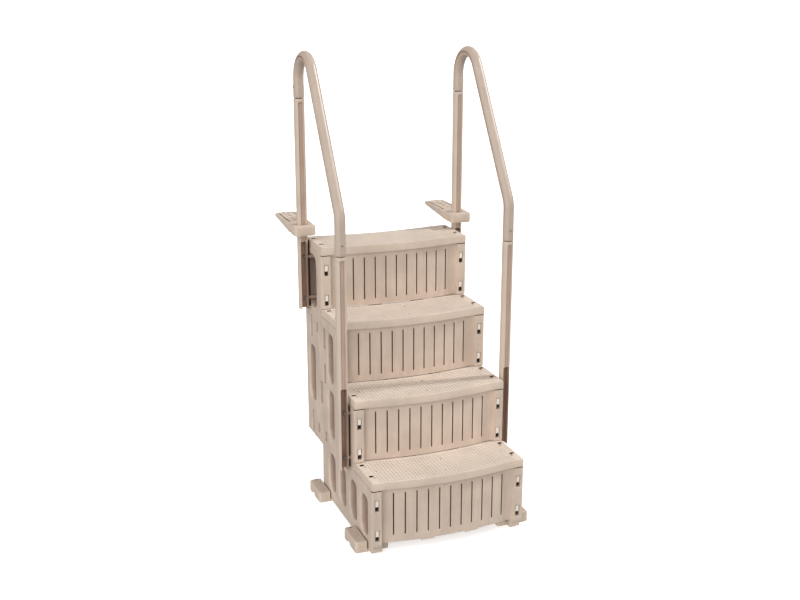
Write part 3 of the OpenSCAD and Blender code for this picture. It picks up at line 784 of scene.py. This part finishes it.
def rail(name, side, groove, groove_half):
    """A handrail: a round bar along two straight legs, an arch, a slope and a lower bend.

    The centreline joins the straight legs, the arch, the straight slope and the lower bend end to end. Each
    ring is a circle, with a narrow groove on both outer flanks that fades out short of the two joints.
    """
    low, high = box_mm(name)
    rear_y, front_y = REAR_POST_Y, FRONT_POST_Y
    r, arch, bend, slope = POST_R, 95.0, 80.0, math.radians(32.0)
    shadow_gap = 3.0
    rear_joint, front_joint = 1597.0 + shadow_gap, low[2] + shadow_gap
    arch_z = high[2] - r - arch
    a = np.linspace(0, math.pi - slope, 40)
    arc = np.stack([rear_y - arch + arch * np.cos(a), arch_z + arch * np.sin(a)], -1)
    start = front_y + bend * (1 - math.cos(slope))
    length = (arc[-1, 0] - start) / math.sin(slope)
    bend_z = arc[-1, 1] - length * math.cos(slope) - bend * math.sin(slope)
    b = np.linspace(math.pi - slope, math.pi, 14)
    low_arc = np.stack([front_y + bend + bend * np.cos(b), bend_z + bend * np.sin(b)], -1)
    ends = np.array([0, .5, 1.2, 2.4, 8, 20, 40, 44, 50, 56])
    leg = np.stack([np.full(len(ends), rear_y), rear_joint + ends], -1)
    foot_leg = np.stack([np.full(len(ends), front_y), front_joint + ends[::-1]], -1)
    line = np.linspace(arc[-1], low_arc[0], 14)[1:-1]
    path = np.concatenate([leg, arc, line, low_arc, foot_leg])
    along = np.concatenate([[0], np.cumsum(np.hypot(*np.diff(path, axis=0).T))])
    tangent = np.gradient(path, along, axis=0)
    tangent /= np.linalg.norm(tangent, axis=1)[:, None]
    normal = np.stack([-tangent[:, 1], tangent[:, 0]], -1)
    half = groove_half / r
    even = np.linspace(0, 2 * np.pi, 40, endpoint=False)
    t = np.sort(np.concatenate([even[1:20], even[21:],
                                *[c + half * np.array([-1.25, -.9, .9, 1.25]) for c in (0, math.pi)]]))
    off = np.minimum(abs((t + np.pi) % (2 * np.pi) - np.pi), abs(t % (2 * np.pi) - np.pi)) / half
    cut = np.clip((1.25 - off) / 0.35, 0, 1)
    total = along[-1]
    runs = np.interp(along, [0, 44, 52, total - 56, total - 46, total], [0, 0, 1, 1, 0, 0])
    thin_run = np.interp(along, [0, 40, 50, total - 56, total - 46, total], [.0, .0, .5, .5, 0, 0])
    ease = np.interp(along, [0, 2.4, total - 2.4, total], [1.0, 0, 0, 1.0])
    R = r - ease[:, None] - thin_run[:, None] - groove * runs[:, None] * cut
    X = side * POST_X + R * np.cos(t)
    Y = path[:, :1] + R * np.sin(t) * normal[:, :1]
    Z = path[:, 1:] + R * np.sin(t) * normal[:, 1:]
    # Painted shade: the faces along the groove take the dark groove colour
    lane = cut[None, :] * runs[:, None] > 0.5
    dark = lane[:-1] & lane[1:] & np.roll(lane, -1, 1)[:-1]
    flags = np.concatenate([dark.ravel(), [False, False]])
    tube = swept(np.stack([X, Y, Z], -1))
    return piece(f"{name}.tube", [(*tube, ("seam", lambda x, y, z: flags))], "ladder", [name],
                 "rail")


def collar(side_name, side):
    """A deck bracket's collar: a rounded block round the post, bored with a chamfered edge."""
    low, high = box_mm(f"collar_clamp_{side_name}")
    top = box_mm(f"deck_plate_{side_name}")[1][2]
    bore, chamfer, r, corner = 22.5, 2.2, 3.0, 14.0
    front, w, tall, split = 54.0, 43.0, high[2] - low[2], 15.0
    ring = bore * CIRCLE_STOPS
    u = lines(near(-w, 1, r), near(w, -1, r), ring, [-bore - chamfer, bore + chamfer], step=9)
    v = lines(near(-front, 1, r), [14.2, split, -bore - chamfer], ring[ring < split], step=9)
    U, V = np.meshgrid(u, v, indexing="ij")
    CU, CV = cells(u, v)
    hole = np.maximum(abs(U), abs(V)) - bore
    edge = np.minimum(w - abs(U), V + front)
    upper = -fillet(edge, r) - 1.6 * np.clip(1 - hole / chamfer, 0, 1) * (hole > -.1)
    lower = -tall + fillet(edge, 2)
    solid = np.maximum(abs(CU), abs(CV)) > bore

    def at_post(a, b, h):
        x, y = round_warp(a, b, 0, 0, bore, bore + 9)
        for su in (-1, 1):
            x, y = round_warp(x, y, su * (w - corner), -(front - corner), corner, (su, -1), "corner")
        return side * POST_X + x, REAR_POST_Y + y, top + h

    # Painted shade: the bore's wall is near-black, for the shade round the post
    def bore_wall(x, y, z):
        return np.hypot(x - side * POST_X, y - REAR_POST_Y) < bore + 0.4

    shape = slab(u, v, lower, upper, solid, at_post)
    piece(f"collar_clamp_{side_name}.moulding", [(*shape, ("hollow", bore_wall))], f"bracket_{side_name}",
          [f"collar_clamp_{side_name}"], "bracket")


def plate(side_name, side):
    """A deck bracket's plate: a tapering tongue with two long grooves and rows of screw holes."""
    top = box_mm(f"deck_plate_{side_name}")[1][2]
    start, reach, w, corner, c, hr = 17.0, 251.0, 48.0, 18.0, 6.0, 3.0
    root, tip = 34, 11
    holes = [(0, 95), (0, 132), (0, 170), (0, 196), (-11, 236), (11, 236)]
    dots = hr * np.array([-1.5, -1, -.5, 0, .5, 1, 1.5])
    slot_x, slot_half, slot_y = 33, 1.7, (58, 228)
    slot_stops = np.array([30.8, 31.3, 34.7, 35.2])
    u = lines(near(-w, 1, c), near(w, -1, c), *[x + dots for x, _ in holes], -slot_stops, slot_stops, step=11)
    v = lines([start, start + .6, start + 2], near(reach, -1, c), *[y + dots for _, y in holes],
              [57, 58, 228, 229], step=13)
    u, v = thin(u, .3), thin(v, .3)
    U, V = np.meshgrid(u, v, indexing="ij")
    CU, CV = cells(u, v)
    edge = np.minimum(w - abs(U), reach - V)
    high = -0.6 * np.clip(c - edge, 0, c) - 0.8 * np.clip(1 - (V - start) / 2, 0, 1)
    slot_out = np.maximum(abs(abs(U) - slot_x) - slot_half, np.maximum(slot_y[0] - V, V - slot_y[1]))
    high = high - 2.8 * (slot_out <= 0.01)
    solid = np.ones(CU.shape, bool)
    for x, y in holes:
        out = np.maximum(abs(U - x), abs(V - y)) - hr
        high = high - .9 * np.clip(1 - out / 1.5, 0, 1) * (out > -.1)
        solid &= np.maximum(abs(CU - x), abs(CV - y)) > hr
    low = -root + (V - start) * (root - tip) / (reach - start) + fillet(edge, 3)
    ribbed = np.clip((w - 8 - abs(U)) / 2, 0, 1) * np.clip((V - 88) / 3, 0, 1) * np.clip((220 - V) / 3, 0, 1)
    low = low + 4.0 * ribbed * (abs(abs(U) - 20) < 12)

    def taper(y):
        return 1 - 0.06 * np.clip((y - 60) / 190, 0, 1)

    def on_deck(a, b, h):
        x, y = a, b
        for cu, cv in holes:
            x, y = round_warp(x, y, cu, cv, hr, hr * 1.9)
        for su in (-1, 1):
            x, y = round_warp(x, y, su * (w - corner), reach - corner, corner, (su, 1), "corner")
        return side * POST_X + x * taper(y), REAR_POST_Y + y, top + h

    # Painted shade: the screw holes and the floors of the long grooves are near-black
    def painted_shade(x, y, z):
        back = y - REAR_POST_Y
        along = (x - side * POST_X) / taper(back)
        holed = np.min([np.hypot(along - cu, back - cv) for cu, cv in holes], 0) < hr * 1.5
        lined = (abs(abs(along) - slot_x) < 2.0) & (back > slot_y[0]) & (back < slot_y[1])
        return (lined & (z < top - 1.2) & (z > top - 4)) | holed

    piece(f"deck_plate_{side_name}.moulding", [(*slab(u, v, low, high, solid, on_deck), ("hollow", painted_shade))],
          f"bracket_{side_name}", [f"deck_plate_{side_name}"], "bracket")


def rail_screw(side_name, side):
    """Two pan-head screws, each a domed head with a dished centre and a shank."""
    low, high = box_mm(f"rail_screws_{side_name}")
    head_r, seat = 5.0, POST_R + 0.3
    dome = [(-12, 1.8), (0, 1.8), (0.05, 4.2), (0.7, 4.1), (1.3, 3.4), (1.6, 2.4), (0.4, 1.8), (0.3, .3)]
    outward = [(side * (POST_X + seat + d), r) for d, r in dome]
    forward = [(FRONT_POST_Y - seat - d, r) for d, r in dome]
    shapes = [turned(outward, (0, REAR_POST_Y, high[2] - head_r), "x", 24),
              turned(forward, (side * POST_X, 0, low[2] + head_r), "y", 24)]
    return piece(f"rail_screws_{side_name}.heads", shapes, "ladder", [f"rail_screws_{side_name}"],
                 "steel")


# ---------------------------------------------------------------- settings

def length(name, description, default):
    """A length setting, in metres."""
    return bpy.props.FloatProperty(name=name, description=description, subtype="DISTANCE", unit="LENGTH",
                                   min=0, precision=4, default=default)


def colour(name, description, default):
    """A colour setting."""
    return bpy.props.FloatVectorProperty(name=name, description=description, subtype="COLOR",
                                         size=3, min=0, max=1, default=default)


def strength(name, description, default):
    """A light's strength."""
    return bpy.props.FloatProperty(name=name, description=description, min=0, default=default)


class LadderShape(bpy.types.PropertyGroup):
    """Sizes that a user may change."""
    grip_step: length("Grip grooves", "Depth of the grooves between the grip pads", 0.001)
    slot_draft: length("Slot bevel", "Depth of the bevel round each water slot", 0.0009)
    rim: length("Panel rim", "Rounding of a side panel's outer edge", 0.003)
    groove: length("Rail groove", "Depth of the groove along a handrail", 0.002)
    groove_half: length("Groove half width", "Half the width of the rail groove", 0.0036)


class LadderFinish(bpy.types.PropertyGroup):
    """Colours and lights that a user may change."""
    resin: colour("Resin", "Colour of the moulded resin", (0.585, 0.47, 0.38))
    # The tread colour goes on upward faces only: painted light on the treads' tops
    tread: colour("Tread resin", "Colour of the treads", (0.70, 0.60, 0.51))
    clip: colour("Clip resin", "Colour of the riser clips", (0.84, 0.76, 0.68))
    steel: colour("Steel", "Colour of the fasteners", (0.34, 0.33, 0.32))
    sun: strength("Key light", "Strength of the key light", 2.4)
    front: strength("Front light", "Strength of the broad front light", 2.5)
    sky: strength("Fill light", "Strength of the surrounding light", 0.46)


def shape_mm(key):
    """One shape setting in millimetres."""
    return getattr(bpy.context.scene.ladder_shape, key) * MM


def finish_settings():
    """The colours and lights in use."""
    return bpy.context.scene.ladder_finish


# ---------------------------------------------------------------- operators

class LADDER_OT_finishes(bpy.types.Operator):
    """Makes every finish the ladder uses."""
    bl_idname = "ladder.finishes"
    bl_label = "Finishes"

    def execute(self, context):
        s = finish_settings()
        FINISHES["resin"] = resin("satin_resin", s.resin)
        # The panel's recess colour is painted shade for the inside of its hollows
        FINISHES["panel"] = resin("panel_resin", [c * 0.96 for c in s.resin], depth=0.12,
                                  recess=(0.20, 0.12, 0.095))
        # Painted shade: posts and rails take darker copies of the same resin, 0.92 and 0.79 of it, for the
        # shade on them
        for key, shade, rough in (("post", 0.92, 0.40), ("rail", 0.79, 0.34)):
            FINISHES[key] = resin(f"{key}_resin", [c * shade for c in s.resin], 0.06, 0.25, rough)
        # Painted shade: dark brown for the posts' open channels and the panels' spacers, which lie in shade
        FINISHES["shade"] = resin("channel_resin", (0.37, 0.245, 0.185), depth=0.15, roughness=0.55)
        # Painted shade: a darker resin tone for the posts' shallow flutes
        FINISHES["flute"] = resin("flute_resin", (0.50, 0.375, 0.295), depth=0.08, roughness=0.45)
        # Painted shade: red-brown for narrow grooves and slots: the tread seams, the riser slots and the rail
        # grooves
        FINISHES["seam"] = resin("seam_resin", (0.28, 0.15, 0.105), 0.2, 0.2, 0.7)
        FINISHES["bracket"] = resin("bracket_resin", s.resin, depth=0.08)
        FINISHES["tread"] = grip_resin("grip_resin", s.tread, s.resin)
        FINISHES["clip"] = resin("clip_resin", s.clip, 0.05, 0.2, 0.4)
        # Painted shade: near-black for holes, gaps and hollows in shade, and for the blocks and webs set in
        # them
        FINISHES["hollow"] = resin("shaded_hollow", (0.022, 0.016, 0.013), 0.2, 0.2, 0.8)
        FINISHES["steel"] = metal("stainless", s.steel)
        return {"FINISHED"}


class LADDER_OT_treads(bpy.types.Operator):
    """Builds the four bowed treads."""
    bl_idname = "ladder.treads"
    bl_label = "Treads"

    def execute(self, context):
        for k in (1, 2, 3, 4):
            tread(k, shape_mm("grip_step"))
        return {"FINISHED"}


class LADDER_OT_risers(bpy.types.Operator):
    """Builds the slotted risers and the hooks in their windows."""
    bl_idname = "ladder.risers"
    bl_label = "Risers"

    def execute(self, context):
        for k in (1, 2, 3, 4):
            riser(k, shape_mm("slot_draft"))
            clips(k)
        return {"FINISHED"}


class LADDER_OT_panels(bpy.types.Operator):
    """Builds the two lower and two upper side panels."""
    bl_idname = "ladder.panels"
    bl_label = "Side panels"

    def execute(self, context):
        rim = shape_mm("rim")
        low, high = box_mm("lower_panel_right")
        tops = [TREAD_BOX[k][0][2] for k in range(4)]
        tread_tops = [TREAD_BOX[k][1][2] for k in range(4)]
        y = [front_of(k) for k in (1, 2, 3, 4)]
        rear = high[1] - ORIGIN_Y
        rects = [(y[k] + 16, rear, low[2], tops[k] - 1.2) for k in range(3)]
        windows = [(y[k] + 15.9, y[k] + 34, tops[k] - d - WINDOW_H, tops[k] - d)
                   for k in range(4) for d in WINDOW_DROPS]
        seats = [(y[k], y[k] + 206, tops[k], tread_tops[k]) for k in range(3)]
        ovals = [(yc, 50, 212, 80) for yc in (92, 218, 344, 472)] + [
            (472, 280, 480, 74), (472, 515, 716, 72), (300, 290, 470, 78)]
        pockets = [(531, 561, 241, 283), (531, 561, 489, 571), (531, 561, 638, 720),
                   (576, rear + 5, 387, 481)]
        up_low, up_high = box_mm("upper_panel_right")
        up = [(rear + 2, up_high[1] - ORIGIN_Y, up_low[2], tread_tops[2] + 2),
              (y[3] + 16, up_high[1] - ORIGIN_Y, tread_tops[2] + 2, up_high[2])]
        up_ovals = [(711, 360, 600, 80), (692, 768, 985, 110)]
        up_pockets = [(703, 727, 224, 316), (703, 727, 636, 728), (627, 653, 242, 282), (627, 653, 678, 718),
                      (rear - 5, 610, 387, 481)]
        for name, side in SIDES.items():
            panel(f"lower_panel_{name}", side, rects, ovals, pockets, windows[:6], seats,
                  [(FRONT_POST_Y, z) for z in (300.0, 480.0)], (238, 256, 262, 506), rim)
            panel(f"upper_panel_{name}", side, up, up_ovals, up_pockets, windows[6:], [],
                  [(REAR_POST_Y, z) for z in (800.0, 970.0)], (717, 735, 765, 1034), rim)
        return {"FINISHED"}


class LADDER_OT_feet(bpy.types.Operator):
    """Builds the four feet."""
    bl_idname = "ladder.feet"
    bl_label = "Feet"

    def execute(self, context):
        for name, side in SIDES.items():
            foot(f"foot_front_{name}", side)
            foot(f"foot_rear_{name}", side)
        return {"FINISHED"}


class LADDER_OT_posts(bpy.types.Operator):
    """Builds the four posts and the two handrails."""
    bl_idname = "ladder.posts"
    bl_label = "Posts and handrails"

    def execute(self, context):
        for name, side in SIDES.items():
            post(f"post_front_{name}", side)
            post(f"post_rear_{name}", side)
            rail(f"handrail_{name}", side, shape_mm("groove"), shape_mm("groove_half"))
        return {"FINISHED"}


class LADDER_OT_brackets(bpy.types.Operator):
    """Builds the two sliding deck brackets."""
    bl_idname = "ladder.brackets"
    bl_label = "Deck brackets"

    def execute(self, context):
        for name, side in SIDES.items():
            collar(name, side)
            plate(name, side)
        return {"FINISHED"}


class LADDER_OT_fasteners(bpy.types.Operator):
    """Builds the rail screws and gives every bolt and nut its steel."""
    bl_idname = "ladder.fasteners"
    bl_label = "Fasteners"

    def execute(self, context):
        for name, side in SIDES.items():
            rail_screw(name, side)
            for node in ("panel_bolts", "panel_nuts", "post_bolts", "post_nuts", "collar_bolts"):
                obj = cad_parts[f"{node}_{name}"]
                for slot in obj.material_slots:
                    slot.material = FINISHES["steel"]
        return {"FINISHED"}


def backing(name, points, faces, glow, shadowed):
    """A pale, faintly glowing surface of the stage, seen by the camera but not lighting the ladder."""
    mesh = bpy.data.meshes.new(name)
    mesh.from_pydata(points.tolist(), [], faces)
    obj = bpy.data.objects.new(name, mesh)
    bpy.context.scene.collection.objects.link(obj)
    material, principled, at, _ = shader(f"pale_{name}", 0.9, specular=0.0)
    principled.inputs["Emission Color"].default_value = (1, 1, 1, 1)
    principled.inputs["Emission Strength"].default_value = glow
    plug(principled, Base_Color=at.noise(0.6, 2.0).mix((0.93, 0.93, 0.93), (0.95, 0.95, 0.95)))
    mesh.materials.append(material)
    obj.visible_diffuse = obj.visible_glossy = False
    obj.visible_shadow = shadowed


def sun_lamp(name, energy, spread, direction):
    """A sun lamp that shines along a direction; spread is its angular size in degrees."""
    sun = bpy.data.lights.new(name, "SUN")
    sun.energy, sun.angle = energy, math.radians(spread)
    lamp = bpy.data.objects.new(name, sun)
    lamp.rotation_euler = Vector(direction).to_track_quat("-Z", "Y").to_euler()
    bpy.context.scene.collection.objects.link(lamp)


class LADDER_OT_stage(bpy.types.Operator):
    """Sets the pale floor and backdrop, the lights and the camera."""
    bl_idname = "ladder.stage"
    bl_label = "Stage"

    def execute(self, context):
        s = finish_settings()
        scene = context.scene
        scene.view_settings.view_transform = "Standard"
        # A disc and a dome over it: each ring is a circle of radius 60 cos(rise) at height 60 sin(rise)
        radius = 60.0
        turn = np.linspace(0, 2 * np.pi, 48, endpoint=False)
        rise = np.linspace(0, np.pi / 2, 10)[:-1, None]
        rings = radius * np.stack([np.cos(rise) * np.cos(turn), np.cos(rise) * np.sin(turn),
                                   np.sin(rise) + 0 * turn], -1)
        points, faces, _ = swept(rings)
        backing("floor", rings[0], [tuple(range(len(turn)))], 0.55, True)
        backing("backdrop", points, [*faces[:-2], faces[-1]], 1.0, False)
        world = bpy.data.worlds.new("studio")
        world.use_nodes = True
        background = world.node_tree.nodes["Background"].inputs
        background["Color"].default_value = (1, 1, 1, 1)
        background["Strength"].default_value = s.sky
        scene.world = world
        sun_lamp("key", s.sun, 6, (-0.78, 0.095, -0.616))
        sun_lamp("front", s.front, 70, (0.70, 0.63, -0.33))
        camera = bpy.data.cameras.new("camera")
        camera.lens, camera.sensor_width, camera.clip_end = 51.26265, 36, 500
        eye = bpy.data.objects.new("camera", camera)
        eye.location = (-1.5724, -3.5251 + ORIGIN_Y / MM, 2.1009)
        eye.rotation_euler = (math.radians(90 - 16.57), 0, math.radians(-21.3))
        scene.collection.objects.link(eye)
        scene.camera = eye
        return {"FINISHED"}


STEPS = (LADDER_OT_finishes, LADDER_OT_stage, LADDER_OT_treads, LADDER_OT_risers, LADDER_OT_panels,
         LADDER_OT_feet, LADDER_OT_posts, LADDER_OT_brackets, LADDER_OT_fasteners)


class LADDER_PT_panel(bpy.types.Panel):
    """Lists the settings and the steps."""
    bl_idname = "LADDER_PT_panel"
    bl_label = "Pool Ladder"
    bl_space_type = "VIEW_3D"
    bl_region_type = "UI"
    bl_category = "Pool Ladder"

    def draw(self, context):
        """Draws every setting, then every step's button."""
        layout = self.layout
        for group in (context.scene.ladder_shape, context.scene.ladder_finish):
            for key in group.__annotations__:
                layout.prop(group, key)
        for step in STEPS:
            layout.operator(step.bl_idname)


CLASSES = (LadderShape, LadderFinish, *STEPS, LADDER_PT_panel)


def register():
    """Registers the classes and the two groups of settings."""
    for cls in CLASSES:
        bpy.utils.register_class(cls)
    bpy.types.Scene.ladder_shape = bpy.props.PointerProperty(type=LadderShape)
    bpy.types.Scene.ladder_finish = bpy.props.PointerProperty(type=LadderFinish)


def unregister():
    """Undoes register, in reverse order."""
    del bpy.types.Scene.ladder_finish
    del bpy.types.Scene.ladder_shape
    for cls in reversed(CLASSES):
        bpy.utils.unregister_class(cls)


def main():
    register()
    for step in STEPS:
        group, verb = step.bl_idname.split(".")
        getattr(getattr(bpy.ops, group), verb)()


if __name__ == "__main__":
    main()
